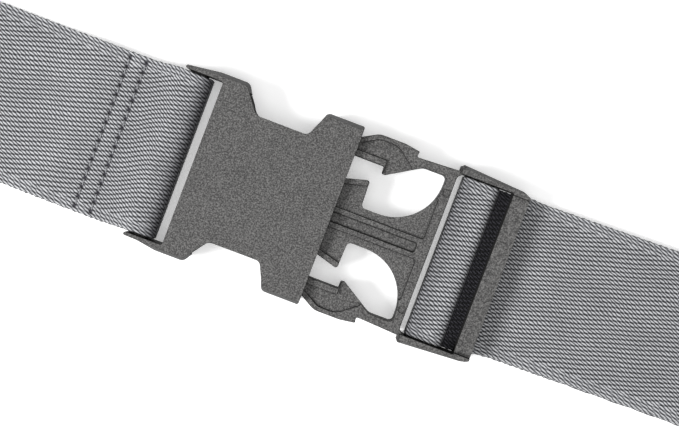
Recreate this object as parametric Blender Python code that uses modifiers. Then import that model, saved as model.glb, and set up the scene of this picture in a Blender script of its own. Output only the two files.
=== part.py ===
"""Gait belt: 50 mm webbing joined by a side-release buckle, laid flat with the buckle half engaged.

Millimetres inside, metres in the scene. +X runs along the belt from the socket to the plug and
+Z is up from the surface that the belt lies on. In buckle coordinates x = 0 is the socket's mouth
and y = 0 the belt's centre line; the empty belt_frame then moves everything along Y, so that the
scene's origin is the middle of the whole belt's footprint.
"""

import math

import bmesh
import bpy
from mathutils import Vector

MM = 0.001
GAP = 0.3  # between pieces that touch

# Webbing
WEB_WIDTH = 50.0
WEB_THICK = 1.7
LAYER_STEP = WEB_THICK + 0.4  # from one lying layer's middle to the next one's
LYING = WEB_THICK / 2  # height of the middle of a layer on the surface
OFF_BAR = WEB_THICK / 2 + GAP  # from a bar's face to the middle of the webbing round it
FOLD_RADIUS = LAYER_STEP / 2

# The belt's rectangle, between centre lines
FOLD_X = 220.0
BACK_Y = 200.0
BACK_GAP = 40.0  # opening in the back run that the plug's travel needs
RUN_START = 100.0  # where the two buckle ends of the strap meet the long runs
FOLD_BACK_END = -80.5
TAIL_START = 62.0
TAIL_END = 150.0
SETTLE = 34.0  # length over which a folded layer comes down to the surface

# Socket
SOCKET_HEIGHT = 13.0
PLATE = 2.0
SOCKET_HALF = 28.2
WAIST_HALF = 19.8
CAVITY_END = -40.5
CAVITY_HALF = 25.3
MOUTH_HALF = 26.5
COLLAR_INNER = -12.9
SLOT_WALL = -43.5
EAR_TIP = -55.4
EAR_INNER = 25.6
SOCKET_BAR = {"left": -54.0, "right": -48.5, "low": 3.4, "high": 9.6, "round": 1.6}

# Plug
PLUG_LOW = 2.7
PLUG_HIGH = 10.3
RAIL_HEIGHT = 12.6
RAIL_START = 31.2
RAIL_INNER = 25.3
END_BAR_LEFT = 47.9
END_BAR_RIGHT = 52.9
END_BAR_LOW = 4.4
END_BAR_HIGH = 10.6
MID_BAR = {"left": 34.3, "right": 42.0, "low": 2.5, "high": 8.2, "round": 1.0}
TONGUE_TIP = -9.4
CROSSBAR_LEFT = 27.8
WINDOW_INNER = 5.45  # from the centre line to the opening beside the tongue
WINDOW_ROUND = 15.0
GROOVE_HALF = 1.65
GROOVE_DEEP = 1.0
GROOVE_END = 26.6
PLATE_DEEP = 0.6  # how far the tongue's flat lies below its ridges

# Latch arms
ARM_LOW = 2.9
ARM_HIGH = 10.1
PIVOT_X = 26.0
PIVOT_Y = 24.4
ARM_HALF = 1.45  # half the thickness of the flexing root
ROOT_ROUND = 1.2
ARM_EDGE = 0.2
POCKET_DEEP = 0.7

# Stitching
STITCH_ROWS = {"stitch_row_inner": -67.8, "stitch_row_outer": -72.9}
STITCH_HALF = 23.0
THREAD_RADIUS = 0.25

ARC_STEP = math.radians(18)

FOLD_BULGE = (FOLD_RADIUS + WEB_THICK / 2) / math.sqrt(2)
MIDDLE_Y = (BACK_Y + WEB_WIDTH / 2 + FOLD_BULGE - SOCKET_HALF) / 2


# ---------------------------------------------------------------- scene


def clear_scene():
    for item in list(bpy.data.objects):
        bpy.data.objects.remove(item, do_unlink=True)


def new_collection(name):
    group = bpy.data.collections.new(name)
    bpy.context.scene.collection.children.link(group)
    return group


def move_to(item, group):
    for old in list(item.users_collection):
        old.objects.unlink(item)
    group.objects.link(item)


def new_material(name, colour, roughness):
    material = bpy.data.materials.new(name)
    material.use_nodes = True
    shader = material.node_tree.nodes["Principled BSDF"]
    shader.inputs["Base Color"].default_value = (*colour, 1.0)
    shader.inputs["Roughness"].default_value = roughness
    shader.inputs["Metallic"].default_value = 0.0
    return material


def new_empty(name, place, parent, group):
    empty = bpy.data.objects.new(name, None)
    empty.empty_display_size = 0.01
    empty.location = Vector(place) * MM
    empty.parent = parent
    group.objects.link(empty)
    return empty


# ---------------------------------------------------------------- outlines


def rounded(corners, closed=True):
    """The path through (x, y, radius) corners, with each corner turned into an arc."""
    path = []
    count = len(corners)
    for i, (x, y, radius) in enumerate(corners):
        corner = Vector((x, y))
        at_end = not closed and i in (0, count - 1)
        if radius == 0 or at_end:
            path.append(corner)
            continue
        back = (Vector(corners[i - 1][:2]) - corner).normalized()
        ahead = (Vector(corners[(i + 1) % count][:2]) - corner).normalized()
        half = back.angle(ahead) / 2
        centre = corner + (back + ahead).normalized() * radius / math.sin(half)
        spoke = corner + back * radius / math.tan(half) - centre
        turn = math.pi - 2 * half
        if back.cross(ahead) > 0:
            turn = -turn
        steps = max(2, round(abs(turn) / ARC_STEP))
        for k in range(steps + 1):
            angle = turn * k / steps
            path.append(centre + Vector((
                spoke.x * math.cos(angle) - spoke.y * math.sin(angle),
                spoke.x * math.sin(angle) + spoke.y * math.cos(angle),
            )))
    return path


def both_sides(half):
    """A whole outline from the corners of its +y half, listed from one end to the other."""
    return half + [(x, -y, radius) for x, y, radius in reversed(half)]


def flip_y(corners):
    return [(x, -y, radius) for x, y, radius in reversed(corners)]


# ---------------------------------------------------------------- solids


def prism(name, corners, low, high, along_y=False):
    """An outline's solid between two heights, or between two y values with x and z as its plane."""
    curve = bpy.data.curves.new(name, "CURVE")
    curve.dimensions = "2D"
    curve.fill_mode = "BOTH"
    curve.extrude = (high - low) / 2 * MM
    path = rounded(corners)
    spline = curve.splines.new("POLY")
    spline.points.add(len(path) - 1)
    for point, place in zip(spline.points, path):
        point.co = (place.x * MM, place.y * MM, 0, 1)
    spline.use_cyclic_u = True
    flat = bpy.data.objects.new(name + "_outline", curve)
    bpy.context.scene.collection.objects.link(flat)
    evaluated = flat.evaluated_get(bpy.context.evaluated_depsgraph_get())
    mesh = bpy.data.meshes.new_from_object(evaluated)
    bpy.data.objects.remove(flat, do_unlink=True)
    bpy.data.curves.remove(curve)
    weld(mesh)
    middle = (low + high) / 2 * MM
    for vertex in mesh.vertices:
        x, y, z = vertex.co
        vertex.co = (x, z + middle, y) if along_y else (x, y, z + middle)
    if along_y:
        mesh.flip_normals()
    solid = bpy.data.objects.new(name, mesh)
    bpy.context.scene.collection.objects.link(solid)
    return solid


def weld(mesh):
    """Join an outline's loose caps to its sides, and clear the edges that lie flat in them."""
    work = bmesh.new()
    work.from_mesh(mesh)
    bmesh.ops.remove_doubles(work, verts=work.verts, dist=1e-6)
    bmesh.ops.dissolve_limit(
        work, angle_limit=math.radians(0.5), verts=work.verts, edges=work.edges
    )
    work.to_mesh(mesh)
    work.free()


def box(name, low, high):
    """A box between two opposite corners."""
    bpy.ops.mesh.primitive_cube_add(size=1)
    solid = bpy.context.active_object
    solid.name = name
    low = Vector(low) * MM
    high = Vector(high) * MM
    for vertex in solid.data.vertices:
        for axis in range(3):
            vertex.co[axis] = low[axis] if vertex.co[axis] < 0 else high[axis]
    return solid


def bevel(solid, width, segments=1):
    edges = solid.modifiers.new("edges", "BEVEL")
    edges.width = width * MM
    edges.segments = segments
    edges.limit_method = "ANGLE"
    edges.angle_limit = math.radians(50)


def combine(solid, other, operation, cutters):
    """Cut other from solid, or join it on, and keep other as a hidden tool."""
    step = solid.modifiers.new(other.name, "BOOLEAN")
    step.operation = operation
    step.object = other
    step.solver = "EXACT"
    move_to(other, cutters)
    other.hide_render = True
    other.display_type = "WIRE"


def rounded_bar(name, bar, half_length):
    """A bar across the belt, from the dictionary of its four faces and its corner radius."""
    corners = [
        (bar["left"], bar["low"], bar["round"]),
        (bar["right"], bar["low"], bar["round"]),
        (bar["right"], bar["high"], bar["round"]),
        (bar["left"], bar["high"], bar["round"]),
    ]
    return prism(name, corners, -half_length, half_length, along_y=True)


# ---------------------------------------------------------------- socket


def socket_body(cutters):
    outline = both_sides([
        (SLOT_WALL, EAR_INNER, 0.8),
        (EAR_TIP, EAR_INNER, 0.5),
        (EAR_TIP + 0.2, 26.7, 0.7),
        (-45.5, SOCKET_HALF, 6.0),
        (-36.4, SOCKET_HALF, 1.6),
        (-31.4, WAIST_HALF, 2.4),
        (-14.9, WAIST_HALF, 1.2),
        (-11.8, SOCKET_HALF, 1.4),
        (0.0, SOCKET_HALF, 0.8),
    ])
    body = prism("socket_body", outline, 0, SOCKET_HEIGHT)
    bevel(body, 1.0, 2)
    cavity = prism("socket_cavity", both_sides([
        (CAVITY_END, CAVITY_HALF, 1.0),
        (COLLAR_INNER, CAVITY_HALF + 0.2, 0),
        (2.0, MOUTH_HALF + 0.16, 0),
    ]), PLATE, SOCKET_HEIGHT - PLATE)
    combine(body, cavity, "DIFFERENCE", cutters)
    bar = rounded_bar("socket_bar", SOCKET_BAR, EAR_INNER + 1.0)
    combine(body, bar, "UNION", cutters)
    rib_top = SOCKET_HEIGHT - PLATE
    rib = box("guide_rib", (CAVITY_END - 1, -1.2, rib_top - 0.7), (-4, 1.2, rib_top + 0.5))
    combine(body, rib, "UNION", cutters)
    return body


# ---------------------------------------------------------------- plug


def plug_body(cutters):
    """The guide tongue, the crossbar and the ladder that holds the webbing, one moulding."""
    tongue_half = [
        (TONGUE_TIP, 8.2, 2.0),
        (-4.0, 10.9, 3.0),
        (6.6, 13.9, 0.8),
        (7.2, WINDOW_INNER, 1.4),
        (CROSSBAR_LEFT, WINDOW_INNER, WINDOW_ROUND),
        (CROSSBAR_LEFT, 26.1, 0.4),
        (33.0, 26.1, 0),
        (33.0, 25.8, 0),
        (32.4, 25.6, 0),
        (30.5, 24.0, 0.8),
    ]
    body = prism("plug_body", both_sides(tongue_half), PLUG_LOW, PLUG_HIGH)
    bevel(body, 0.35)
    frame = prism("ladder_frame", [
        (RAIL_START, RAIL_INNER, 0),
        (RAIL_START, SOCKET_HALF, 0.9),
        (END_BAR_RIGHT, 26.8, 2.4),
        (END_BAR_RIGHT, -26.8, 2.4),
        (RAIL_START, -SOCKET_HALF, 0.9),
        (RAIL_START, -RAIL_INNER, 0),
        (END_BAR_LEFT, -RAIL_INNER, 0.8),
        (END_BAR_LEFT, RAIL_INNER, 0.8),
    ], 0, RAIL_HEIGHT)
    bevel(frame, 0.6)
    under = box("under_end_bar", (END_BAR_LEFT - 1, -RAIL_INNER, -1), (54, RAIL_INNER, END_BAR_LOW))
    over = box("over_end_bar", (END_BAR_LEFT - 1, -24.9, END_BAR_HIGH), (54, 24.9, 14))
    combine(frame, under, "DIFFERENCE", cutters)
    combine(frame, over, "DIFFERENCE", cutters)
    combine(body, frame, "UNION", cutters)
    combine(body, rounded_bar("mid_bar", MID_BAR, RAIL_INNER + 1.0), "UNION", cutters)
    for name, low, high in (
        ("upper", PLUG_HIGH - GROOVE_DEEP, PLUG_HIGH + 1),
        ("lower", PLUG_LOW - 1, PLUG_LOW + GROOVE_DEEP),
    ):
        start = TONGUE_TIP - 1
        groove = box(name + "_groove", (start, -GROOVE_HALF, low), (GROOVE_END, GROOVE_HALF, high))
        combine(body, groove, "DIFFERENCE", cutters)
    flat = [
        (TONGUE_TIP - 1, 3.0, 0),
        (TONGUE_TIP - 1, 6.4, 0),
        (-4.0, 9.3, 2.0),
        (7.0, 12.4, 0),
        (12.0, 16.0, 0),
        (CROSSBAR_LEFT, 16.0, 0),
        (CROSSBAR_LEFT, 3.0, 1.0),
    ]
    for side, corners in (("left", flat), ("right", flip_y(flat))):
        top = prism("flat_top_" + side, corners, PLUG_HIGH - PLATE_DEEP, PLUG_HIGH + 1)
        bottom = prism("flat_bottom_" + side, corners, PLUG_LOW - 1, PLUG_LOW + PLATE_DEEP)
        combine(body, top, "DIFFERENCE", cutters)
        combine(body, bottom, "DIFFERENCE", cutters)
    return body


def latch_arm(name, side, cutters):
    """One flexing arm with its barb; side is 1 on the +y side and -1 on the other."""
    root = PIVOT_X + ARM_HALF
    outline = [
        (-7.6, 19.2, 1.2),
        (-7.6, 22.6, 1.8),
        (0.0, 25.0, 4.0),
        (4.8, 27.7, 3.5),
        (12.8, 27.7, 6.0),
        (17.4, 27.0, 0.4),
        (17.3, 25.2, 0.3),
        (root, PIVOT_Y + ARM_HALF, ROOT_ROUND),
        (root, PIVOT_Y - ARM_HALF, ROOT_ROUND),
        (20.2, PIVOT_Y - ARM_HALF, 2.0),
        (17.6, 22.0, 1.5),
        (10.4, 17.0, 0.5),
        (9.3, 17.0, 0.4),
        (9.3, 19.2, 0.3),
    ]
    pocket = [
        (-6.4, 20.9, 0.7),
        (-6.4, 22.0, 0.5),
        (0.6, 23.6, 3.0),
        (5.2, 26.3, 3.0),
        (10.9, 26.3, 3.0),
        (17.2, 21.9, 0.6),
        (17.2, 20.0, 0),
        (10.4, 15.5, 0),
        (9.5, 15.5, 0),
        (9.5, 20.9, 0.5),
    ]
    if side < 0:
        outline = flip_y(outline)
        pocket = flip_y(pocket)
    arm = prism(name, outline, ARM_LOW, ARM_HIGH)
    bevel(arm, ARM_EDGE)
    top = prism(name + "_top_pocket", pocket, ARM_HIGH - POCKET_DEEP, ARM_HIGH + 1)
    bottom = prism(name + "_bottom_pocket", pocket, ARM_LOW - 1, ARM_LOW + POCKET_DEEP)
    combine(arm, top, "DIFFERENCE", cutters)
    combine(arm, bottom, "DIFFERENCE", cutters)
    return arm


# ---------------------------------------------------------------- webbing


def ribbon(name, sections):
    """Webbing through sections, each the 3-D middle of the strap and the vector to one edge."""
    count = len(sections)
    bpy.ops.mesh.primitive_grid_add(x_subdivisions=count - 1, y_subdivisions=1, size=1)
    strap = bpy.context.active_object
    strap.name = name
    for index, vertex in enumerate(strap.data.vertices):
        middle, edge = sections[index % count]
        side = 1 if index >= count else -1
        vertex.co = (middle + edge * side) * MM
    skin = strap.modifiers.new("webbing", "SOLIDIFY")
    skin.thickness = WEB_THICK * MM
    skin.offset = 0
    return strap


def across(corners):
    """Sections square to the belt along a side-view path of (x, z, radius) corners."""
    half = Vector((0, WEB_WIDTH / 2, 0))
    return [(Vector((p.x, 0, p.y)), half) for p in rounded(corners, closed=False)]


def mitre(centre, heading, turned, edge):
    """Sections of a square fold: the strap rolls over a diagonal line and leaves turned."""
    line = (turned + heading).normalized()
    if line.dot(edge) < 0:
        line = -line
    outward = (heading - turned).normalized()
    steps = 8
    sections = []
    for k in range(steps + 1):
        angle = math.pi * k / steps
        shift = outward * FOLD_RADIUS * math.sin(angle)
        lift = Vector((0, 0, FOLD_RADIUS * (1 - math.cos(angle))))
        sections.append((centre + shift + lift, line * WEB_WIDTH / math.sqrt(2)))
    new_edge = 2 * line.dot(edge) * line - edge
    overlap = WEB_WIDTH / 2 + 1
    up = Vector((0, 0, LAYER_STEP))
    sections.append((centre + turned * overlap + up, new_edge))
    sections.append((centre + turned * (overlap + SETTLE), new_edge))
    return sections, new_edge


def long_run(side):
    """From the buckle's end of a run, round two folds, to the opening in the back run."""
    outward = Vector((side, 0, 0))
    back = Vector((0, 1, 0))
    edge = Vector((0, WEB_WIDTH / 2, 0))
    start = RUN_START + GAP / 2
    sections = [(Vector((side * start, 0, LYING)), edge)]
    folded, edge = mitre(Vector((side * FOLD_X, 0, LYING)), outward, back, edge)
    sections += folded
    folded, edge = mitre(Vector((side * FOLD_X, BACK_Y, LYING)), back, -outward, edge)
    sections += folded
    sections.append((Vector((side * BACK_GAP / 2, BACK_Y, LYING)), edge))
    return sections


def socket_end_path():
    """Sewn loop round the socket's bar, seen from the side, from the folded-back end on."""
    low = SOCKET_BAR["low"] - OFF_BAR
    high = SOCKET_BAR["high"] + OFF_BAR
    right = SOCKET_BAR["right"] + OFF_BAR
    turn = SOCKET_BAR["round"] + OFF_BAR
    return [
        (FOLD_BACK_END, LYING, 0),
        (-60.0, LYING, 8.0),
        (-54.5, low, 6.0),
        (right, low, turn),
        (right, high, turn),
        (-54.2, high, 3.0),
        (-64.0, LYING + LAYER_STEP, 8.0),
        (FOLD_BACK_END - 1.5, LYING + LAYER_STEP, 10.0),
        (FOLD_BACK_END - 14.0, LYING, 10.0),
        (-RUN_START + GAP / 2, LYING, 0),
    ]


def ladder_end_path():
    """Through the ladder, seen from the side: over the middle bar and back under both bars."""
    left = MID_BAR["left"] - OFF_BAR
    right = MID_BAR["right"] + OFF_BAR
    high = MID_BAR["high"] + OFF_BAR
    turn = MID_BAR["round"] + OFF_BAR
    tail = LYING + LAYER_STEP
    return [
        (TAIL_START - GAP / 2, tail, 0),
        (right, tail, 1.8),
        (right, high, turn),
        (left, high, turn),
        (left, LYING, 1.9),
        (RUN_START - GAP / 2, LYING, 0),
    ]


def tail_path():
    height = LYING + LAYER_STEP
    return [(TAIL_START + GAP / 2, height, 0), (TAIL_END, height, 0)]


def thread(name, x):
    """One row of stitching, as a thin cord on top of the sewn layers."""
    height = WEB_THICK + LAYER_STEP + GAP + THREAD_RADIUS
    curve = bpy.data.curves.new(name, "CURVE")
    curve.dimensions = "3D"
    curve.bevel_depth = THREAD_RADIUS * MM
    curve.bevel_resolution = 1
    curve.use_fill_caps = True
    spline = curve.splines.new("POLY")
    spline.points.add(1)
    spline.points[0].co = (x * MM, -STITCH_HALF * MM, height * MM, 1)
    spline.points[1].co = (x * MM, STITCH_HALF * MM, height * MM, 1)
    row = bpy.data.objects.new(name, curve)
    bpy.context.scene.collection.objects.link(row)
    return row


# ---------------------------------------------------------------- belt


def main():
    clear_scene()
    belt = new_collection("gait_belt")
    cutters = new_collection("cutters")
    plastic = new_material("acetal_grey", (0.15, 0.147, 0.146), 0.55)
    webbing = new_material("webbing_grey", (0.26, 0.265, 0.275), 0.85)
    sewing = new_material("thread_grey", (0.33, 0.335, 0.345), 0.8)

    frame = new_empty("belt_frame", (0, -MIDDLE_Y, 0), None, belt)
    slide = new_empty("plug_slide", (0, 0, 0), frame, belt)

    def place(piece, parent, material):
        move_to(piece, belt)
        piece.data.materials.clear()
        piece.data.materials.append(material)
        piece.parent = parent
        piece.location = -parent.location if parent.parent == slide else (0, 0, 0)

    place(socket_body(cutters), frame, plastic)
    place(plug_body(cutters), slide, plastic)
    for name, side in (("latch_arm_left", 1), ("latch_arm_right", -1)):
        pivot = new_empty(name + "_pivot", (PIVOT_X, side * PIVOT_Y, 0), slide, belt)
        place(latch_arm(name, side, cutters), pivot, plastic)
    place(ribbon("strap_socket_end", across(socket_end_path())), frame, webbing)
    place(ribbon("strap_left_run", long_run(-1)), frame, webbing)
    place(ribbon("strap_ladder_end", across(ladder_end_path())), slide, webbing)
    place(ribbon("strap_right_run", long_run(1)), slide, webbing)
    place(ribbon("strap_tail", across(tail_path())), slide, webbing)
    for name, x in STITCH_ROWS.items():
        place(thread(name, x), frame, sewing)
    for tool in cutters.objects:
        tool.parent = frame


main()
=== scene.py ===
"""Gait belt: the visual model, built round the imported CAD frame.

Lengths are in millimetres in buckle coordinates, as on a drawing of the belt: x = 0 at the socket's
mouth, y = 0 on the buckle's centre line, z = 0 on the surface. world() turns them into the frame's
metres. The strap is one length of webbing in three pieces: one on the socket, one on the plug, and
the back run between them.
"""

import math

import bmesh
import bpy
import numpy as np
from mathutils import Euler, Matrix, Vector

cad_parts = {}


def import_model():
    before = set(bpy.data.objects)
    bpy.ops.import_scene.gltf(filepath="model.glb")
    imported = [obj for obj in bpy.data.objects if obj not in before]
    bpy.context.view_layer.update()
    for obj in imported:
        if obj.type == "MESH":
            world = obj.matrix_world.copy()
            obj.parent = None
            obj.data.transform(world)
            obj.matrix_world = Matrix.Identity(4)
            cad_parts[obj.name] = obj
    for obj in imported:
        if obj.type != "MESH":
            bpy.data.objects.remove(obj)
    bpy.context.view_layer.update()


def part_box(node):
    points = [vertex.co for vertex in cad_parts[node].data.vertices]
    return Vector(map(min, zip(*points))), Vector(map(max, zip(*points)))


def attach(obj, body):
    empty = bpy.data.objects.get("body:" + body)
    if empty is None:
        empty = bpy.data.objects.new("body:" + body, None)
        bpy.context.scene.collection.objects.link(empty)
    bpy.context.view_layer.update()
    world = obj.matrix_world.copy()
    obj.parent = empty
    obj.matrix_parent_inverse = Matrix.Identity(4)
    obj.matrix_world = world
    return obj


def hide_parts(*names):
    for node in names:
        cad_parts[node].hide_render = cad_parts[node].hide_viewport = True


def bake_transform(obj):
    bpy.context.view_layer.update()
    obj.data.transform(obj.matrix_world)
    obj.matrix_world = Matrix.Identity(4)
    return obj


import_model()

MM = 0.001
SOCKET_LOW, SOCKET_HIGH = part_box("socket_body")
MOUTH_X = SOCKET_HIGH[0]
CENTRE_Y = (SOCKET_LOW[1] + SOCKET_HIGH[1]) / 2

# Webbing
WEB_HALF = 25.0
WEB_THICK = 1.7
BASE_HALF = 0.73  # half the thickness below the ridges of the weave
LAYER_STEP = 2.1
LYING = WEB_THICK / 2
OFF_BAR = WEB_THICK / 2 + 0.3
FOLD_RADIUS = LAYER_STEP / 2
FOLD_X = 220.0
BACK_Y = 200.0
SETTLE_START = 26.0
SETTLE = 34.0
PATH_END = 100.0  # |x| where the side-view paths end and the long runs start
BACK_SEAM = 150.0  # |x| where the back run meets the two side pieces
FOLD_BACK_END = -80.5
TAIL_END = 150.0

# Twill
GROOVE_PITCH = 1.4
GROOVE_ANGLE = math.radians(16.0)
FLOAT_PITCH = 0.80
FLOAT_ANGLE = math.radians(25.0)
SELVEDGE = 3.2
SELVEDGE_PITCH = 1.15
RIDGE_HIGH = 0.04
EDGE_START = 0.25  # from here to the strap's edge, its skin rounds over
EDGE_PROFILE = ((0.05, 0.42), (0.0, 0.0), (0.05, -0.42))  # distance from the edge, height

# Distances between the rows of the strap's skin, and between its columns
ROW_LONG = 1.5
ROW_TAIL = 1.2
ROW_NEAR = 0.5
ROW_FOLD = 0.3
ROW_STITCH = 0.22
ROLLED = 5.0
SEEN_COLUMN = 0.25
HIDDEN_COLUMN = 0.6
BACK_COLUMN = 0.45

# Stitching
STITCH_X = {"inner": -67.8, "outer": -72.9}
STITCH_PITCH = 2.9
STITCH_HALF = 23.2
THREAD_RADIUS = 0.24

# Socket
SOCKET_EDGE = 0.3
SOCKET_HEIGHT = 13.0
PLATE = 2.0
SOCKET_HALF = 28.2
WAIST_HALF = 19.8
CAVITY_END = -40.5
RIB_HALF = 1.2
RIB_DEEP = 0.7
RIB_END = -5.0
SLOT_WALL = -43.5
EAR_TIP = -55.4

# Plug
PLUG_EDGE = 0.35
PLUG_LOW = 2.7
PLUG_HIGH = 10.3
RAIL_HEIGHT = 12.6
RAIL_START = 31.2
RAIL_INNER = 25.3
RAIL_OUTER = 28.2
STEP_START = 30.95  # this clears the socket's mouth when the plug is home
END_BAR_LEFT = 47.9
END_BAR_RIGHT = 52.9
TONGUE_TIP = -9.4
WINDOW_ROUND = 15.0
GROOVE_HALF = 1.65
GROOVE_DEEP = 1.3
GROOVE_END = 26.6
ARM_INNER = 22.95
ARM_ROOT = 26.4  # where the arm is cut from the crossbar

# Bars that the strap goes round: faces and corner radius
SOCKET_BAR = {"left": -54.0, "right": -48.5, "low": 3.4, "high": 9.6, "round": 1.6}
MID_BAR = {"left": 34.3, "right": 42.0, "low": 2.5, "high": 8.2, "round": 1.0}


def world(points):
    """Buckle millimetres to the frame's metres."""
    return np.asarray(points, float) * MM + np.array([MOUTH_X, CENTRE_Y, 0.0])


# ---------------------------------------------------------------- node materials


def new_material(name):
    material = bpy.data.materials.new(name)
    material.use_nodes = True
    return material, material.node_tree, material.node_tree.nodes["Principled BSDF"]


def node(tree, kind, **settings):
    made = tree.nodes.new(kind)
    for key, value in settings.items():
        setattr(made, key, value)
    return made


def math_node(tree, operation, *inputs, clamp=False):
    made = node(tree, "ShaderNodeMath", operation=operation, use_clamp=clamp)
    for i, value in enumerate(inputs):
        if isinstance(value, (int, float)):
            made.inputs[i].default_value = value
        else:
            tree.links.new(value, made.inputs[i])
    return made.outputs[0]


def ramp_node(tree, factor, stops):
    """A colour ramp; stops are (position, grey or colour)."""
    made = node(tree, "ShaderNodeValToRGB")
    elements = made.color_ramp.elements
    while len(elements) > 1:
        elements.remove(elements[-1])
    for i, (position, colour) in enumerate(stops):
        element = elements[0] if i == 0 else elements.new(position)
        element.position = position
        element.color = (*colour, 1.0) if hasattr(colour, "__len__") else (colour,) * 3 + (1.0,)
    tree.links.new(factor, made.inputs[0])
    return made.outputs[0]


def noise_node(tree, vector, scale, detail=2.0, roughness=0.5):
    made = node(tree, "ShaderNodeTexNoise")
    made.inputs["Scale"].default_value = scale
    made.inputs["Detail"].default_value = detail
    made.inputs["Roughness"].default_value = roughness
    tree.links.new(vector, made.inputs["Vector"])
    return made.outputs["Fac"]


def mix_colour(tree, kind, factor, a, b):
    made = node(tree, "ShaderNodeMix", data_type="RGBA", blend_type=kind)
    made.inputs["Factor"].default_value = factor
    for socket, value in ((made.inputs["A"], a), (made.inputs["B"], b)):
        if hasattr(value, "__len__"):
            socket.default_value = (*value, 1.0)
        else:
            tree.links.new(value, socket)
    return made.outputs["Result"]


def bump_node(tree, height, strength, distance):
    made = node(tree, "ShaderNodeBump")
    made.inputs["Strength"].default_value = strength
    made.inputs["Distance"].default_value = distance
    tree.links.new(height, made.inputs["Height"])
    return made.outputs["Normal"]


def plastic_material():
    """Dark grey moulded acetal: fine speckle and a spark-eroded grain, with painted shade on tilted
    faces and in creases.
    """
    material, tree, shader = new_material("buckle_plastic")
    place = node(tree, "ShaderNodeTexCoord").outputs["Object"]
    speckle = noise_node(tree, place, 2400.0, 2.0, 0.6)
    cloud = noise_node(tree, place, 160.0, 2.0)
    tone = math_node(tree, "MULTIPLY_ADD", cloud, 0.06, speckle)
    colour = ramp_node(tree, tone, [
        (0.38, (0.038, 0.037, 0.037)), (0.53, (0.085, 0.084, 0.083)), (0.68, (0.165, 0.162, 0.159)),
    ])
    # Painted shade: faces that tilt away from straight up are painted darker, down to a quarter of the
    # colour on the side walls.
    upright = node(tree, "ShaderNodeSeparateXYZ")
    tree.links.new(node(tree, "ShaderNodeNewGeometry").outputs["Normal"], upright.inputs[0])
    level = math_node(tree, "ABSOLUTE", upright.outputs["Z"])
    edge = ramp_node(tree, level, [(0.3, 0.25), (0.85, 0.50), (0.985, 1.0)])
    colour = mix_colour(tree, "MULTIPLY", 1.0, colour, edge)
    # Painted shade: within 0.9 mm of a crease the colour is darkened to as little as 0.35, where shade
    # falls.
    crease = node(tree, "ShaderNodeAmbientOcclusion", samples=6)
    crease.inputs["Distance"].default_value = 0.0009
    painted_crease_shade = ramp_node(tree, crease.outputs["AO"], [(0.45, 0.35), (0.9, 1.0)])
    colour = mix_colour(tree, "MULTIPLY", 1.0, colour, painted_crease_shade)
    tree.links.new(colour, shader.inputs["Base Color"])
    rough = math_node(tree, "MULTIPLY_ADD", speckle, 0.2, 0.5)
    tree.links.new(rough, shader.inputs["Roughness"])
    shader.inputs["Specular IOR Level"].default_value = 0.1
    tree.links.new(bump_node(tree, speckle, 0.35, 0.00012), shader.inputs["Normal"])
    return material


def weave_nodes(tree):
    """Fields of the twill from 0 to 1: ridge between grooves, yarn between its neighbours, pit."""
    cell = node(tree, "ShaderNodeUVMap", uv_map="weave").outputs["UV"]
    split = node(tree, "ShaderNodeSeparateXYZ")
    tree.links.new(cell, split.inputs[0])
    along, across = split.outputs["X"], split.outputs["Y"]

    def turns(x_part, y_part, pitch):
        first = math_node(tree, "MULTIPLY", along, x_part / pitch)
        return math_node(tree, "MULTIPLY_ADD", across, y_part / pitch, first)

    def sine(phase):
        angle = math_node(tree, "MULTIPLY", phase, math.pi)
        return math_node(tree, "ABSOLUTE", math_node(tree, "SINE", angle))

    def near_zero(wave, sharpness):
        square = math_node(tree, "MULTIPLY", wave, wave)
        return math_node(tree, "POWER", math_node(tree, "SUBTRACT", 1.0, square), sharpness)

    groove = turns(math.sin(GROOVE_ANGLE), math.cos(GROOVE_ANGLE), GROOVE_PITCH)
    floats = turns(-math.sin(FLOAT_ANGLE), math.cos(FLOAT_ANGLE), FLOAT_PITCH)
    waver = noise_node(tree, cell, 0.5, 2.0)
    floats = math_node(tree, "MULTIPLY_ADD", waver, 0.8, floats)
    from_edge = math_node(tree, "SUBTRACT", WEB_HALF, math_node(tree, "ABSOLUTE", across))
    in_edge = math_node(tree, "LESS_THAN", from_edge, SELVEDGE)
    edge_turns = math_node(tree, "MULTIPLY", from_edge, 1 / SELVEDGE_PITCH)
    switch = node(tree, "ShaderNodeMix", data_type="FLOAT")
    for socket, value in zip((switch.inputs["Factor"], switch.inputs["A"], switch.inputs["B"]),
                             (in_edge, groove, edge_turns)):
        tree.links.new(value, socket)
    ridge = sine(switch.outputs["Result"])
    yarn = sine(floats)
    pit = math_node(tree, "MULTIPLY", near_zero(ridge, 3.0), near_zero(yarn, 0.8))
    pit = math_node(tree, "MULTIPLY", pit, math_node(tree, "MULTIPLY_ADD", in_edge, -0.6, 1.0))
    run = turns(math.cos(FLOAT_ANGLE), math.sin(FLOAT_ANGLE), 3.0)
    join = node(tree, "ShaderNodeCombineXYZ")
    tree.links.new(math_node(tree, "MULTIPLY", floats, 6.0), join.inputs["X"])
    tree.links.new(run, join.inputs["Y"])
    fibre = noise_node(tree, join.outputs[0], 1.0, 2.0, 0.6)
    return cell, ridge, yarn, pit, fibre


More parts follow.
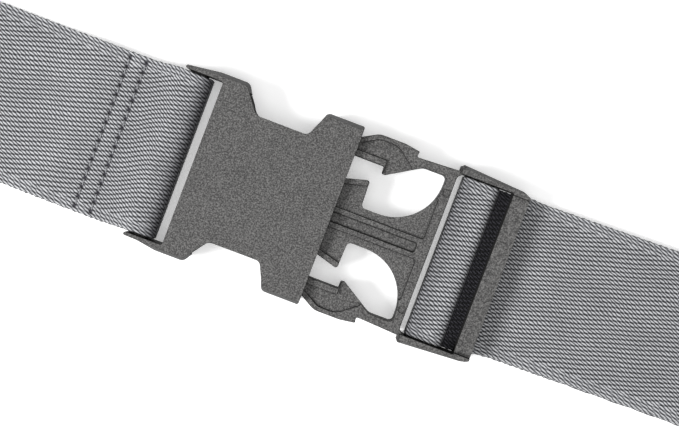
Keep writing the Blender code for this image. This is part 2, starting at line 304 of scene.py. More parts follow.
def webbing_material():
    """Blue-grey filament webbing in a steep twill: slanting floats between rows of pits, with painted
    shade and highlight on the weave's relief and painted shade from a mesh attribute.
    """
    material, tree, shader = new_material("webbing")
    cell, ridge, yarn, pit, fibre = weave_nodes(tree)
    crown = math_node(tree, "MULTIPLY_ADD", ridge, 0.34, 0.66)
    thread = math_node(tree, "MULTIPLY_ADD", yarn, 0.80, 0.26)
    body = math_node(tree, "MULTIPLY", crown, thread)
    body = math_node(tree, "MULTIPLY_ADD", fibre, 0.16, body)
    relief = math_node(tree, "MULTIPLY_ADD", pit, -0.80, body, clamp=True)
    # The weave's relief is painted into its colour: painted shade in the grooves and pits, painted
    # highlight on the crowns of the floats.
    colour = ramp_node(tree, relief, [
        (0.08, (0.006, 0.006, 0.009)), (0.38, (0.050, 0.051, 0.058)), (0.66, (0.132, 0.135, 0.145)),
        (0.86, (0.275, 0.28, 0.293)), (1.0, (0.52, 0.525, 0.54)),
    ])
    patch = noise_node(tree, cell, 0.11, 2.0)
    shade = ramp_node(tree, patch, [(0.3, 0.86), (0.7, 1.0)])
    colour = mix_colour(tree, "MULTIPLY", 1.0, colour, shade)
    # Painted shade from a mesh attribute: where it is 1 the colour falls to about a twentieth, tinted
    # violet like webbing in deep shade.
    painted_shade = node(tree, "ShaderNodeAttribute", attribute_name="painted_shade").outputs["Fac"]
    painted_shade_tint = ramp_node(tree, painted_shade, [(0.0, 1.0), (1.0, (0.05, 0.045, 0.07))])
    colour = mix_colour(tree, "MULTIPLY", 1.0, colour, painted_shade_tint)
    tree.links.new(colour, shader.inputs["Base Color"])
    rough = math_node(tree, "MULTIPLY_ADD", fibre, 0.2, 0.5)
    tree.links.new(rough, shader.inputs["Roughness"])
    shader.inputs["Sheen Weight"].default_value = 0.1
    shader.inputs["Specular IOR Level"].default_value = 0.4
    tree.links.new(bump_node(tree, relief, 0.9, 0.0003), shader.inputs["Normal"])
    return material


def thread_material():
    """Twisted sewing thread, a little lighter than the webbing."""
    material, tree, shader = new_material("thread")
    place = node(tree, "ShaderNodeTexCoord").outputs["Object"]
    ply = node(tree, "ShaderNodeTexWave", wave_type="BANDS", bands_direction="DIAGONAL")
    ply.inputs["Scale"].default_value = 900.0
    ply.inputs["Distortion"].default_value = 1.0
    tree.links.new(place, ply.inputs["Vector"])
    colour = ramp_node(tree, ply.outputs["Fac"], [
        (0.0, (0.12, 0.122, 0.13)), (1.0, (0.30, 0.305, 0.32)),
    ])
    tree.links.new(colour, shader.inputs["Base Color"])
    shader.inputs["Roughness"].default_value = 0.6
    tree.links.new(bump_node(tree, ply.outputs["Fac"], 0.5, 0.0001), shader.inputs["Normal"])
    return material


def floor_material():
    material, tree, shader = new_material("pale_floor")
    shader.inputs["Base Color"].default_value = (0.92, 0.92, 0.92, 1.0)
    shader.inputs["Roughness"].default_value = 0.9
    shader.inputs["Emission Color"].default_value = (1.0, 1.0, 1.0, 1.0)
    shader.inputs["Emission Strength"].default_value = 0.33
    return material


# ---------------------------------------------------------------- outlines


def rounded(corners, closed=True, step=math.radians(5)):
    """The path through (x, y, radius) corners, with each corner turned into an arc."""
    path = []
    count = len(corners)
    for i, (x, y, radius) in enumerate(corners):
        corner = Vector((x, y))
        at_end = not closed and i in (0, count - 1)
        if radius == 0 or at_end:
            path.append(corner)
            continue
        back = (Vector(corners[i - 1][:2]) - corner).normalized()
        ahead = (Vector(corners[(i + 1) % count][:2]) - corner).normalized()
        half = back.angle(ahead) / 2
        centre = corner + (back + ahead).normalized() * radius / math.sin(half)
        spoke = corner + back * radius / math.tan(half) - centre
        turn = math.pi - 2 * half
        if back.cross(ahead) > 0:
            turn = -turn
        steps = max(2, round(abs(turn) / step))
        for k in range(steps + 1):
            angle = turn * k / steps
            path.append(centre + Vector((
                spoke.x * math.cos(angle) - spoke.y * math.sin(angle),
                spoke.x * math.sin(angle) + spoke.y * math.cos(angle),
            )))
    return path


def both_sides(half):
    """A whole outline from the corners of its +y half, listed from one end to the other."""
    return half + flip_y(half)


def flip_y(corners):
    return [(x, -y, radius) for x, y, radius in reversed(corners)]


# ---------------------------------------------------------------- moulded solids


def prism(corners, low, high, axis="z"):
    """The solid of an outline between two levels of an axis; its plane is the other two axes."""
    curve = bpy.data.curves.new("outline", "CURVE")
    curve.dimensions = "2D"
    curve.fill_mode = "BOTH"
    curve.extrude = (high - low) / 2
    path = rounded(corners)
    spline = curve.splines.new("POLY")
    spline.points.add(len(path) - 1)
    for point, place in zip(spline.points, path):
        point.co = (place.x, place.y, 0, 1)
    spline.use_cyclic_u = True
    flat = bpy.data.objects.new("outline", curve)
    bpy.context.scene.collection.objects.link(flat)
    mesh = bpy.data.meshes.new_from_object(flat.evaluated_get(bpy.context.evaluated_depsgraph_get()))
    bpy.data.objects.remove(flat, do_unlink=True)
    work = bmesh.new()
    work.from_mesh(mesh)
    bmesh.ops.remove_doubles(work, verts=work.verts, dist=0.001)
    bmesh.ops.dissolve_limit(work, angle_limit=math.radians(0.5), verts=work.verts, edges=work.edges)
    middle = (low + high) / 2
    for vertex in work.verts:
        a, b, c = vertex.co
        vertex.co = (a, b, c + middle) if axis == "z" else (a, c + middle, b)
    if axis == "y":
        bmesh.ops.reverse_faces(work, faces=work.faces)
    work.to_mesh(mesh)
    work.free()
    solid = bpy.data.objects.new("solid", mesh)
    bpy.context.scene.collection.objects.link(solid)
    return solid


def box(low, high):
    (left, front, bottom), (right, back, top) = low, high
    corners = [(left, front, 0), (right, front, 0), (right, back, 0), (left, back, 0)]
    return prism(corners, bottom, top)


def soften(solid, width):
    """Round the solid's sharp edges."""
    edges = solid.modifiers.new("edges", "BEVEL")
    edges.width = width
    edges.segments = 3
    edges.limit_method = "ANGLE"
    edges.angle_limit = math.radians(40)
    return solid


def draft(solid, parting, inset):
    """Slope the side walls in from the parting line, towards y = 0, by inset(x, |y|) at both faces."""
    work = bmesh.new()
    work.from_mesh(solid.data)
    bmesh.ops.bisect_plane(
        work, geom=work.verts[:] + work.edges[:] + work.faces[:],
        plane_co=(0, 0, parting), plane_no=(0, 0, 1),
    )
    for vertex in work.verts:
        if abs(vertex.co.z - parting) > 0.01:
            x, y, _ = vertex.co
            vertex.co.y = y - math.copysign(inset(x, abs(y)), y)
    work.to_mesh(solid.data)
    work.free()
    return solid


def combine(solid, other, operation="DIFFERENCE"):
    step = solid.modifiers.new("step", "BOOLEAN")
    step.operation = operation
    step.object = other
    step.solver = "EXACT"


def settle(solid):
    """Apply the solid's modifiers."""
    mesh = bpy.data.meshes.new_from_object(
        solid.evaluated_get(bpy.context.evaluated_depsgraph_get())
    )
    solid.modifiers.clear()
    solid.data = mesh
    return solid


def finish_moulding(solid, name, plastic):
    """Move a finished solid into the frame, with flat faces shaded flat and rounded edges smooth."""
    settle(solid)
    solid.name = name
    mesh = solid.data
    mesh.name = name
    places = np.empty(len(mesh.vertices) * 3)
    mesh.vertices.foreach_get("co", places)
    mesh.vertices.foreach_set("co", world(places.reshape(-1, 3)).ravel())
    mesh.materials.clear()
    mesh.materials.append(plastic)
    mesh.shade_smooth()
    mesh.set_sharp_from_angle(angle=math.radians(32))
    normals = solid.modifiers.new("normals", "WEIGHTED_NORMAL")
    normals.keep_sharp = True
    normals.weight = 100
    settle(solid)
    return solid


def drop(*solids):
    for solid in solids:
        bpy.data.objects.remove(solid, do_unlink=True)


# ---------------------------------------------------------------- buckle


def socket_draft(x, y):
    """Inset of the socket's outer walls: none at the waist, the slot or the tips of the ears."""
    if x < SLOT_WALL + 0.3 and y < 26.0:
        return 0.0
    return 1.3 * float(smooth((y - 20.5) / 6) * np.clip((x - EAR_TIP) / 6, 0, 1))


def rail_draft(x, y):
    return 0.42 * (y - 25.3) if y > 25.9 else 0.0


def make_socket(plastic):
    outline = both_sides([
        (SLOT_WALL, 25.6, 0.8),
        (EAR_TIP, 25.6, 0.5),
        (EAR_TIP + 0.2, 26.7, 0.7),
        (-45.5, SOCKET_HALF, 6.0),
        (-36.4, SOCKET_HALF, 2.2),
        (-31.4, WAIST_HALF, 3.2),
        (-14.9, WAIST_HALF, 1.9),
        (-11.8, SOCKET_HALF, 1.6),
        (0.0, SOCKET_HALF, 0.6),
    ])
    body = draft(prism(outline, 0, SOCKET_HEIGHT), SOCKET_HEIGHT / 2, socket_draft)
    soften(body, SOCKET_EDGE)
    cavity = prism(both_sides([
        (CAVITY_END, 25.3, 1.0),
        (-12.9, 25.5, 0),
        (2.0, 26.66, 0),
    ]), PLATE, SOCKET_HEIGHT - PLATE)
    bar = rounded_bar(SOCKET_BAR, 26.6)
    rib_top = SOCKET_HEIGHT - PLATE
    rib = box((CAVITY_END - 1, -RIB_HALF, rib_top - RIB_DEEP), (RIB_END, RIB_HALF, rib_top + 0.5))
    combine(body, cavity)
    combine(body, bar, "UNION")
    combine(body, rib, "UNION")
    finish_moulding(body, "socket_moulding", plastic)
    drop(cavity, bar, rib)
    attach(body, "socket")
    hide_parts("socket_body")


def rounded_bar(bar, half_length):
    corners = [
        (bar["left"], bar["low"], bar["round"]),
        (bar["right"], bar["low"], bar["round"]),
        (bar["right"], bar["high"], bar["round"]),
        (bar["left"], bar["high"], bar["round"]),
    ]
    return prism(corners, -half_length, half_length, axis="y")


def plug_outline():
    """The plug seen from above, with its arms: along the +y side from the tongue's tip to the rail."""
    return both_sides([
        (TONGUE_TIP, 8.2, 2.0),
        (-4.0, 10.9, 3.0),
        (6.9, 13.9, 0.7),
        (7.25, 5.45, 1.3),
        (27.75, 5.45, WINDOW_ROUND),
        (27.75, ARM_INNER, 1.3),
        (20.4, ARM_INNER, 4.0),
        (10.5, 16.9, 0.6),
        (9.4, 17.0, 0.5),
        (9.3, 19.2, 0.3),
        (-7.6, 19.2, 1.2),
        (-7.6, 22.6, 1.8),
        (0.0, 25.0, 5.0),
        (4.8, 27.7, 5.0),
        (12.8, 27.7, 9.0),
        (17.6, 27.0, 0.4),
        (17.3, 25.2, 0.5),
        (30.4, 25.9, 0),
        (34.0, 26.9, 0),
        (34.0, 25.6, 0),
        (32.4, 25.6, 0.4),
        (30.5, 24.0, 1.6),
    ])


def make_ladder():
    """The rails and the end bar, which is low enough for the tail below it and is stepped on top."""
    ladder = prism([
        (RAIL_START, RAIL_INNER, 0),
        (RAIL_START, RAIL_OUTER, 0.5),
        (END_BAR_RIGHT, 26.8, 2.4),
        (END_BAR_RIGHT, -26.8, 2.4),
        (RAIL_START, -RAIL_OUTER, 0.5),
        (RAIL_START, -RAIL_INNER, 0),
        (END_BAR_LEFT, -RAIL_INNER, 0.8),
        (END_BAR_LEFT, RAIL_INNER, 0.8),
    ], 0, RAIL_HEIGHT)
    soften(draft(ladder, RAIL_HEIGHT / 2, rail_draft), PLUG_EDGE)
    past_bar = END_BAR_RIGHT + 1.1
    below = box((END_BAR_LEFT - 1, -RAIL_INNER, -1), (past_bar, RAIL_INNER, 4.4))
    above = soften(box((END_BAR_LEFT - 1, -24.9, 10.6), (past_bar, 24.9, RAIL_HEIGHT + 1.4)), 0.5)
    combine(ladder, below)
    combine(ladder, above)
    settle(ladder)
    drop(below, above)
    return ladder


def make_rail_steps():
    """The small blocks at the rails' left ends."""
    steps = []
    for front, back in ((25.4, 27.7), (-27.7, -25.4)):
        steps.append(soften(box((STEP_START, front, 0.4), (32.0, back, 10.8)), 0.2))
    return steps


def make_hollows():
    """Solids of the recesses in both faces of the plug, and of the tongue's grooves."""
    arm_pocket = [
        (-6.4, 21.0, 0.5),
        (-6.4, 22.1, 0.4),
        (0.6, 23.6, 4.0),
        (5.4, 26.4, 4.5),
        (11.2, 26.4, 6.0),
        (17.4, 21.6, 1.2),
        (17.2, 19.5, 0),
        (10.4, 15.5, 0),
        (9.5, 15.5, 0),
        (9.5, 21.0, 0.5),
    ]
    tongue_flat = [
        (TONGUE_TIP - 1, 3.0, 0),
        (TONGUE_TIP - 1, 6.4, 0),
        (-4.0, 9.3, 2.0),
        (7.5, 12.4, 0),
        (12.0, 16.0, 0),
        (27.8, 16.0, 0),
        (27.8, 3.0, 1.0),
    ]
    ejector_mark = [(28.1, 17.2, 0.7), (30.2, 17.2, 0.7), (30.2, 19.5, 0.7), (28.1, 19.5, 0.7)]
    hollows = []
    for corners, deep in ((arm_pocket, 0.9), (tongue_flat, 0.8), (ejector_mark, 0.3)):
        for shape in (corners, flip_y(corners)):
            hollows += both_faces(shape, deep, 0.4 * deep + 0.1)
    groove = [
        (TONGUE_TIP - 1, -GROOVE_HALF, 0),
        (GROOVE_END, -GROOVE_HALF, 0.9),
        (GROOVE_END, GROOVE_HALF, 0.9),
        (TONGUE_TIP - 1, GROOVE_HALF, 0),
    ]
    return hollows + both_faces(groove, GROOVE_DEEP, 0.7)


def both_faces(shape, deep, corner):
    """The solids that sink an outline into the plug's upper and lower faces."""
    upper = soften(prism(shape, PLUG_HIGH - deep, PLUG_HIGH + 1), corner)
    lower = soften(prism(shape, PLUG_LOW - 1, PLUG_LOW + deep), corner)
    return [upper, lower]


def cut_arm(body, side, name, latch, plastic):
    """Take the arm on one side off the moulding, cut at its root."""
    front, back = sorted((15.5 * side, 31 * side))
    room = box((-12, front, 0), (ARM_ROOT, back, 13))
    arm = body.copy()
    bpy.context.scene.collection.objects.link(arm)
    combine(arm, room, "INTERSECT")
    settle(arm)
    combine(body, room)
    settle(body)
    drop(room)
    finish_moulding(arm, name, plastic)
    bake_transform(arm)
    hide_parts(latch.replace("latch", "latch_arm"))


def make_plug(plastic):
    """Tongue, crossbar, ladder and both arms as one moulding, then the arms cut off at their roots."""
    body = soften(prism(plug_outline(), PLUG_LOW, PLUG_HIGH), PLUG_EDGE)
    added = [make_ladder(), rounded_bar(MID_BAR, 26.3)] + make_rail_steps()
    hollows = make_hollows()
    for solid in added:
        combine(body, solid, "UNION")
    for solid in hollows:
        combine(body, solid)
    settle(body)
    drop(*added, *hollows)
    cut_arm(body, 1, "arm_left", "latch_left", plastic)
    cut_arm(body, -1, "arm_right", "latch_right", plastic)
    finish_moulding(body, "plug_moulding", plastic)
    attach(body, "plug")
    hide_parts("plug_body")


# ---------------------------------------------------------------- the strap's shape


def smooth(t):
    t = np.clip(t, 0.0, 1.0)
    return t * t * (3 - 2 * t)


def roll(points, start, slant, upward):
    """Fold flat strap points over the diagonal u = start + slant * w."""
    u, w, z = points.T
    distance = (u - start - slant * w) / math.sqrt(2)
    whole = math.pi * FOLD_RADIUS
    angle = np.clip(distance, 0, whole) / FOLD_RADIUS
    arm = FOLD_RADIUS - upward * z
    folded = distance > 0
    along = np.where(folded, arm * np.sin(angle) - np.maximum(distance - whole, 0), distance)
    height = np.where(folded, upward * (FOLD_RADIUS - arm * np.cos(angle)), z)
    shift = (along - distance) / math.sqrt(2)
    return np.stack([u + shift, w - slant * shift, height], axis=1)


def long_run(u, w, side):
    """Points of the lying strap; u is the distance from the mouth, measured along the strap."""
    flat = np.stack([u, w, np.zeros_like(u)], axis=1)
    second = FOLD_X + BACK_Y
    folded = roll(roll(flat, second, -1, -1), FOLD_X, 1, 1)
    drop = smooth((u - FOLD_X - SETTLE_START) / SETTLE) + smooth((u - second - SETTLE_START) / SETTLE)
    lift = 0.18 * (1 - np.cos(u / 17.0)) * (w / WEB_HALF) ** 2 * smooth((u - 110) / 30)
    height = LYING + folded[:, 2] - LAYER_STEP * drop + lift
    return np.stack([side * folded[:, 0], folded[:, 1], height], axis=1)


class Strap:
    """One half of the strap, from its free or sewn end outwards: a side-view path, then the run.

    lean(u, before) is how far the strap lies off the centre line at a distance u from the mouth,
    on the layer before the bar and on the one after it; gather is its share of the full width.
    """

    def __init__(self, corners, side, lean, gather):
        self.path = np.array([tuple(p) for p in rounded(corners, closed=False)])
        steps = np.linalg.norm(np.diff(self.path, axis=0), axis=1)
        self.reach = np.concatenate([[0], np.cumsum(steps)])
        self.length = self.reach[-1]
        self.side = side
        self.lean = lean
        self.gather = gather
        self.turn = float(self.reach[np.argmax(self.path[:, 1])])

    def at(self, s, w):
        """Points at distances s and widths w from the half's start and middle."""
        x = np.interp(s, self.reach, self.path[:, 0])
        z = np.interp(s, self.reach, self.path[:, 1])
        u = np.where(s < self.length, np.abs(x), PATH_END + s - self.length)
        gather = 1 + (self.gather - 1) * smooth((u - 50) / 10) * near_buckle(u)
        y = w * gather + self.lean(u, s < self.turn)
        near = np.stack([x, y, z], axis=1)
        far = long_run(u, y, self.side)
        return np.where((s < self.length)[:, None], near, far)

    def s_of_x(self, x, after):
        """Distance at which the path reaches x, past the distance after."""
        later = self.reach >= after
        places = self.path[later, 0]
        order = np.argsort(places)
        return float(np.interp(x, places[order], self.reach[later][order]))

    def s_on_back(self, x):
        """Distance to a point of the back run at x; the two folds take up a little length."""
        folds = math.sqrt(2) * math.pi * FOLD_RADIUS
        return self.length - PATH_END + FOLD_X + BACK_Y + FOLD_X + folds - self.side * x


def socket_end_path():
    low = SOCKET_BAR["low"] - OFF_BAR
    high = SOCKET_BAR["high"] + OFF_BAR
    right = SOCKET_BAR["right"] + OFF_BAR
    turn = SOCKET_BAR["round"] + OFF_BAR
    return [
        (FOLD_BACK_END, LYING, 0),
        (-60.0, LYING, 8.0),
        (-54.5, low, 6.0),
        (right, low, turn),
        (right, high, turn),
        (-54.2, high, 3.0),
        (-64.0, LYING + LAYER_STEP, 8.0),
        (FOLD_BACK_END - 1.5, LYING + LAYER_STEP, 10.0),
        (FOLD_BACK_END - 14.0, LYING, 10.0),
        (-PATH_END, LYING, 0),
    ]


def ladder_end_path():
    left = MID_BAR["left"] - OFF_BAR
    right = MID_BAR["right"] + OFF_BAR
    high = MID_BAR["high"] + OFF_BAR
    turn = MID_BAR["round"] + OFF_BAR
    tail = LYING + LAYER_STEP
    return [
        (TAIL_END, tail, 0),
        (right, tail, 1.8),
        (right, high, turn),
        (left, high, turn),
        (left, LYING, 1.9),
        (PATH_END, LYING, 0),
    ]


def near_buckle(u):
    """1 near the buckle, fading to 0 before the first fold."""
    return 1 - smooth((u - 110) / 80)


def left_lean(u, before):
    return -0.7 * smooth((u - 56) / 10) * near_buckle(u)


def right_lean(u, before):
    tail = (1.3 + 0.027 * (u - 55)) * smooth((u - 47) / 9)
    run = (0.9 + 0.02 * (u - 55)) * smooth((u - 47) / 9) * near_buckle(u)
    return np.where(before, tail, run)


# ---------------------------------------------------------------- the strap's surface


def hole_gap(w):
    """Distance across the strap to the nearest needle hole."""
    return (w + STITCH_HALF + STITCH_PITCH / 2) % STITCH_PITCH - STITCH_PITCH / 2


def sewn_width(w):
    """True as far across the strap as the stitching goes."""
    return np.abs(w) < STITCH_HALF + 1


def left_painted_shade(x, s, w, strap):
    """Painted shade on the webbing: behind the socket's bar, past the stitching towards the bar, and in
    the needle holes.
    """
    upper = s > strap.turn - 4
    bar = 0.62 * smooth((x + 52.5) / 6.0) * upper
    past_rows_shade = 0.10 * smooth((x + 69) / 3) * upper
    holes = np.zeros_like(s)
    for row_x in STITCH_X.values():
        row = strap.s_of_x(row_x, strap.turn)
        holes += 1.6 * np.exp(-((s - row) / 0.55) ** 2 - (hole_gap(w) / 0.75) ** 2)
    return np.clip(bar + past_rows_shade + holes * sewn_width(w), 0, 1)


def right_painted_shade(x, s, w, strap):
    """Painted shade on the webbing: both sides of the middle bar, darkest past it where the strap turns
    down into the second slot.
    """
    after = 0.93 * smooth((x - 42.4) / 0.8) * (1 - smooth((x - 49) / 2))
    before = 0.45 * (1 - smooth((x - 33.0) / 5.0))
    near = s < strap.length - 30
    return np.clip(np.where(near, after + before, 0), 0, 1)


def warp(along, across):
    """Weave coordinates with the slow wander that real threads have."""
    shift = 0.10 * np.sin(along / 5.3 + across / 3.1) + 0.08 * np.sin(along / 2.9 - across / 7.7)
    slip = 0.25 * np.sin(along / 11.0 + across / 4.3) + 0.15 * np.sin(across / 1.9)
    inside = np.clip((WEB_HALF - np.abs(across)) / 6, 0, 1)
    return along + slip * inside, across + shift * inside


def ridge_height(along, across):
    """Relief of the weave at weave coordinates, from 0 to RIDGE_HIGH."""
    phase = (along * math.sin(GROOVE_ANGLE) + across * math.cos(GROOVE_ANGLE)) / GROOVE_PITCH
    middle = np.abs(np.sin(math.pi * phase)) ** 0.7
    from_edge = WEB_HALF - np.abs(across)
    edge = np.abs(np.sin(math.pi * from_edge / SELVEDGE_PITCH)) ** 0.7
    return RIDGE_HIGH * np.where(from_edge < SELVEDGE, edge, middle)


def edge_scallop(s):
    """The small in and out of the weft's turns along an edge."""
    return 0.10 * np.sin(2 * math.pi * s / 1.75) + 0.06 * np.sin(2 * math.pi * s / 4.1)


def spacing(stops):
    """Distances along the strap from (position, step towards the next position) stops."""
    places = []
    for (start, step), (end, _) in zip(stops, stops[1:]):
        count = max(1, round((end - start) / step))
        places.extend(start + (end - start) * k / count for k in range(count))
    places.append(stops[-1][0])
    return np.array(places)


def fold_slant(u):
    """How far each row across the strap leans, so that rows lie along the fold lines."""
    lean = np.zeros_like(u)
    for place, slant in ((FOLD_X, 1), (FOLD_X + BACK_Y, -1)):
        lean += slant * np.clip((45 - np.abs(u - place - 2)) / 36, 0, 1)
    return lean


def build_strap(name, strap, places, weave_from, direction, fine, pits=None, painted_shade=None):
    """A closed skin of webbing. fine is the width of a face on the A side and on the B side."""
    u = PATH_END + places - strap.length
    lean = fold_slant(u)
    rim = WEB_HALF - EDGE_START
    faces = []
    for face_side, width in zip((1, -1), fine):
        count = round(2 * rim / width)
        faces.append((face_side, np.linspace(-rim, rim, count + 1) * face_side))
    loops = []
    coords = []
    tones = []
    for face_side, widths in faces:
        s, w = np.meshgrid(places, widths, indexing="ij")
        s = s + lean[:, None] * w
        point, normal = frame_at(strap, s.ravel(), w.ravel())
        along, across = warp(weave_from + direction * s.ravel(), face_side * w.ravel())
        height = BASE_HALF + ridge_height(along, across)
        if pits is not None and face_side == 1:
            height = height + pits(s.ravel(), w.ravel())
        skin = point + normal * (face_side * height)[:, None]
        loops.append(skin.reshape(*s.shape, 3))
        coords.append(np.stack([along, across], axis=1).reshape(*s.shape, 2))
        # Painted shade for each point, from the piece's shade function.
        shaded = np.zeros(s.size) if painted_shade is None else painted_shade(point[:, 0], s.ravel(), w.ravel(), strap)
        tones.append(shaded.reshape(s.shape))
        tones.append(np.repeat(tones[-1][:, -1:], len(EDGE_PROFILE), axis=1))
        end_w = face_side * np.array([WEB_HALF - inside for inside, _ in EDGE_PROFILE])
        end_h = face_side * np.array([height for _, height in EDGE_PROFILE])
        s, w = np.meshgrid(places, end_w, indexing="ij")
        s = s + lean[:, None] * w
        w = w + face_side * edge_scallop(s)
        point, normal = frame_at(strap, s.ravel(), w.ravel())
        skin = point + normal * np.tile(end_h, len(places))[:, None]
        loops.append(skin.reshape(*s.shape, 3))
        along = weave_from + direction * s.ravel()
        coords.append(np.stack([along, face_side * w.ravel()], axis=1).reshape(*s.shape, 2))
    ring = np.concatenate(loops, axis=1)
    weave = np.concatenate(coords, axis=1)
    piece = skin_mesh(name, world(ring.reshape(-1, 3)), weave, strap.side > 0)
    # The painted shade goes into a point attribute that the webbing material reads.
    layer = piece.data.attributes.new("painted_shade", "FLOAT", "POINT")
    layer.data.foreach_set("value", np.concatenate(tones, axis=1).astype(np.float32).ravel())
    return piece


def frame_at(strap, s, w):
    """Middle-surface points and A-side normals."""
    small = 0.02
    point = strap.at(s, w)
    d_s = strap.at(s + small, w) - strap.at(s - small, w)
    d_w = strap.at(s, w + small) - strap.at(s, w - small)
    normal = -strap.side * np.cross(d_w, d_s)
    normal /= np.linalg.norm(normal, axis=1)[:, None]
    return point, normal


def skin_mesh(name, points, weave, flip):
    """A tube of rings, one ring for each row of weave, closed with a cap at each end."""
    rows, ring = weave.shape[:2]
    index = np.arange(rows * ring).reshape(rows, ring)
    after = np.roll(index, -1, axis=1)
    quads = np.stack([index[:-1], after[:-1], after[1:], index[1:]], axis=-1).reshape(-1, 4)
    caps = [index[0][::-1], index[-1]]
    if flip:
        quads = quads[:, ::-1]
        caps = [cap[::-1] for cap in caps]
    faces = quads.tolist() + [cap.tolist() for cap in caps]
    mesh = bpy.data.meshes.new(name)
    mesh.from_pydata(points.tolist(), [], faces)
    layer = mesh.uv_layers.new(name="weave")
    corner = np.empty(len(mesh.loops), int)
    mesh.loops.foreach_get("vertex_index", corner)
    layer.data.foreach_set("uv", weave.reshape(-1, 2)[corner].astype(np.float32).ravel())
    mesh.shade_smooth()
    mesh.set_sharp_from_angle(angle=math.radians(70))
    piece = bpy.data.objects.new(name, mesh)
    bpy.context.scene.collection.objects.link(piece)
    return piece


# ---------------------------------------------------------------- stitching


def stitch_places():
    """Where the needle went through, from one edge to the other."""
    count = round(2 * STITCH_HALF / STITCH_PITCH)
    return np.linspace(-STITCH_HALF, STITCH_HALF, count + 1)


def stitch_pits(strap):
    """The height that the stitching takes from the strap's surface."""
    rows = [strap.s_of_x(x, strap.turn) for x in STITCH_X.values()]
    middle = sum(rows) / 2

    def pits(s, w):
        change = 0.10 * np.exp(-((s - middle) / 1.5) ** 2)
        for row in rows:
            seam = np.exp(-((s - row) / 0.75) ** 2)
            change -= seam * (0.16 + 0.30 * np.exp(-(hole_gap(w) / 0.55) ** 2))
        return change * sewn_width(w)

    return pits


def make_stitches(strap, name, row_x, thread):
    """A row of short tubes, each from one needle hole to the next, sunk at both ends."""
    row = strap.s_of_x(row_x, strap.turn)
    holes = stitch_places()
    around = np.linspace(0, 2 * math.pi, 11)[:-1]
    share = np.linspace(0, 1, 13)
    points = []
    faces = []
    for first, last in zip(holes, holes[1:]):
        w = first + (last - first) * (0.12 + 0.76 * share)
        s = row + 0.12 * np.sin(math.pi * (share - 0.5))
        centre, normal = frame_at(strap, s, w)
        rise = BASE_HALF - 0.16 + 0.14 * np.sin(math.pi * share) - 0.6 * np.abs(2 * share - 1) ** 4
        centre = centre + normal * rise[:, None]
        base = len(points) * len(around)
        for place, up in zip(centre, normal):
            side_way = np.cross(up, (0, 1, 0))
            ring = [place + THREAD_RADIUS * (math.cos(a) * side_way + math.sin(a) * up) for a in around]
            points.append(ring)
        for i in range(len(share) - 1):
            for k in range(len(around)):
                a = base + i * len(around) + k
                b = base + i * len(around) + (k + 1) % len(around)
                faces.append((a, b, b + len(around), a + len(around)))
        faces.append(tuple(base + k for k in reversed(range(len(around)))))
        end = base + (len(share) - 1) * len(around)
        faces.append(tuple(end + k for k in range(len(around))))
    mesh = bpy.data.meshes.new("stitches_" + name)
    mesh.from_pydata(world(np.array(points).reshape(-1, 3)).tolist(), [], faces)
    mesh.shade_smooth()
    mesh.materials.append(thread)
    piece = bpy.data.objects.new("stitches_" + name, mesh)
    bpy.context.scene.collection.objects.link(piece)
    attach(piece, "socket")
    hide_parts("stitch_row_" + name)


# ---------------------------------------------------------------- building the strap


def corner_stops(fold, seam):
    """Row spacing over the two folded corners and on to the seam."""
    second = fold + BACK_Y
    return [
        (fold - 2, ROW_FOLD), (fold + ROLLED, ROW_LONG),
        (second - 2, ROW_FOLD), (second + ROLLED, ROW_LONG), (seam, ROW_LONG),
    ]


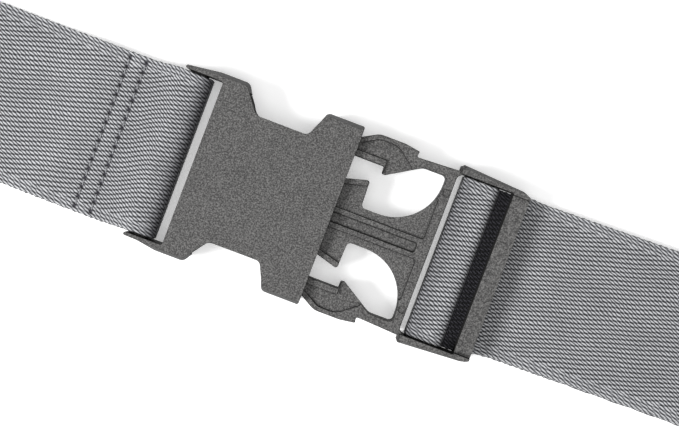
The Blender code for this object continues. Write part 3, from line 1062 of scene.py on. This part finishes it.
def make_straps(webbing):
    """The strap's three pieces; returns the shape of the socket's half, for the stitching."""
    left = Strap(socket_end_path(), -1, left_lean, 1.016)
    right = Strap(ladder_end_path(), 1, right_lean, 0.972)
    seam_left = left.s_on_back(-BACK_SEAM)
    seam_right = left.s_on_back(BACK_SEAM)
    right_seam = right.s_on_back(BACK_SEAM)
    rows = sorted(left.s_of_x(x, left.turn) for x in STITCH_X.values())
    left_places = spacing([
        (0, ROW_TAIL), (25.0, ROW_NEAR), (rows[0] - 1.5, ROW_STITCH), (rows[1] + 1.5, ROW_NEAR),
        (left.length + 30, ROW_LONG), *corner_stops(left.length - PATH_END + FOLD_X, seam_left),
    ])
    back_places = spacing([(seam_left, ROW_LONG), (seam_right, ROW_LONG)])
    right_places = spacing([
        (0, ROW_TAIL), (40.0, ROW_NEAR), (right.length - 20, ROW_LONG),
        *corner_stops(right.length - PATH_END + FOLD_X, right_seam),
    ])
    pieces = [
        build_strap("strap_socket_side", left, left_places, 0.0, 1, (SEEN_COLUMN, HIDDEN_COLUMN),
                    stitch_pits(left), left_painted_shade),
        build_strap("strap_back_run", left, back_places, 0.0, 1, (BACK_COLUMN, BACK_COLUMN)),
        build_strap("strap_plug_side", right, right_places, seam_right + right_seam, -1,
                    (HIDDEN_COLUMN, SEEN_COLUMN), painted_shade=right_painted_shade),
    ]
    for piece in pieces:
        piece.data.materials.append(webbing)
    socket_side, back_run, plug_side = pieces
    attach(socket_side, "socket")
    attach(plug_side, "plug")
    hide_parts("strap_socket_end", "strap_left_run")
    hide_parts("strap_ladder_end", "strap_right_run", "strap_tail")
    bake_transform(back_run)
    return left


# ---------------------------------------------------------------- studio


def make_camera():
    """Above the buckle, rolled so that the belt runs down to the right."""
    aim = Vector(world([[2.0, 1.3, 10.0]])[0])
    distance = 0.45
    width = 0.1999
    turn = Euler([math.radians(angle) for angle in (-1.1, 0.0, 20.8)])
    data = bpy.data.cameras.new("camera")
    data.sensor_width = 36.0
    data.lens = 36.0 * distance / width
    camera = bpy.data.objects.new("camera", data)
    bpy.context.scene.collection.objects.link(camera)
    camera.location = aim + turn.to_matrix() @ Vector((0, 0, distance))
    camera.rotation_euler = turn
    bpy.context.scene.camera = camera


def make_light(name, place, target, size, power):
    data = bpy.data.lights.new(name, "AREA")
    data.shape = "DISK"
    data.size = size
    data.energy = power
    light = bpy.data.objects.new(name, data)
    bpy.context.scene.collection.objects.link(light)
    light.location = place
    light.rotation_mode = "QUATERNION"
    light.rotation_quaternion = (Vector(target) - Vector(place)).to_track_quat("-Z", "Y")


def make_studio():
    bpy.ops.mesh.primitive_plane_add(size=6.0, location=(0, 0, -0.0002))
    floor = bpy.context.active_object
    floor.name = "floor"
    floor.data.materials.append(floor_material())
    make_light("key", (-0.85, -0.55, 0.95), (0, -0.1, 0), 0.5, 18.0)
    make_light("fill", (0.1, -0.2, 1.5), (0, -0.1, 0), 1.2, 9.0)
    world_light = bpy.data.worlds.new("studio")
    world_light.use_nodes = True
    background = world_light.node_tree.nodes["Background"]
    background.inputs["Color"].default_value = (1, 1, 1, 1)
    background.inputs["Strength"].default_value = 0.42
    bpy.context.scene.world = world_light
    bpy.context.scene.view_settings.view_transform = "Standard"


# ---------------------------------------------------------------- belt


def main():
    plastic = plastic_material()
    webbing = webbing_material()
    thread = thread_material()
    make_socket(plastic)
    make_plug(plastic)
    left = make_straps(webbing)
    for name, row_x in STITCH_X.items():
        make_stitches(left, name, row_x, thread)
    make_camera()
    make_studio()


main()
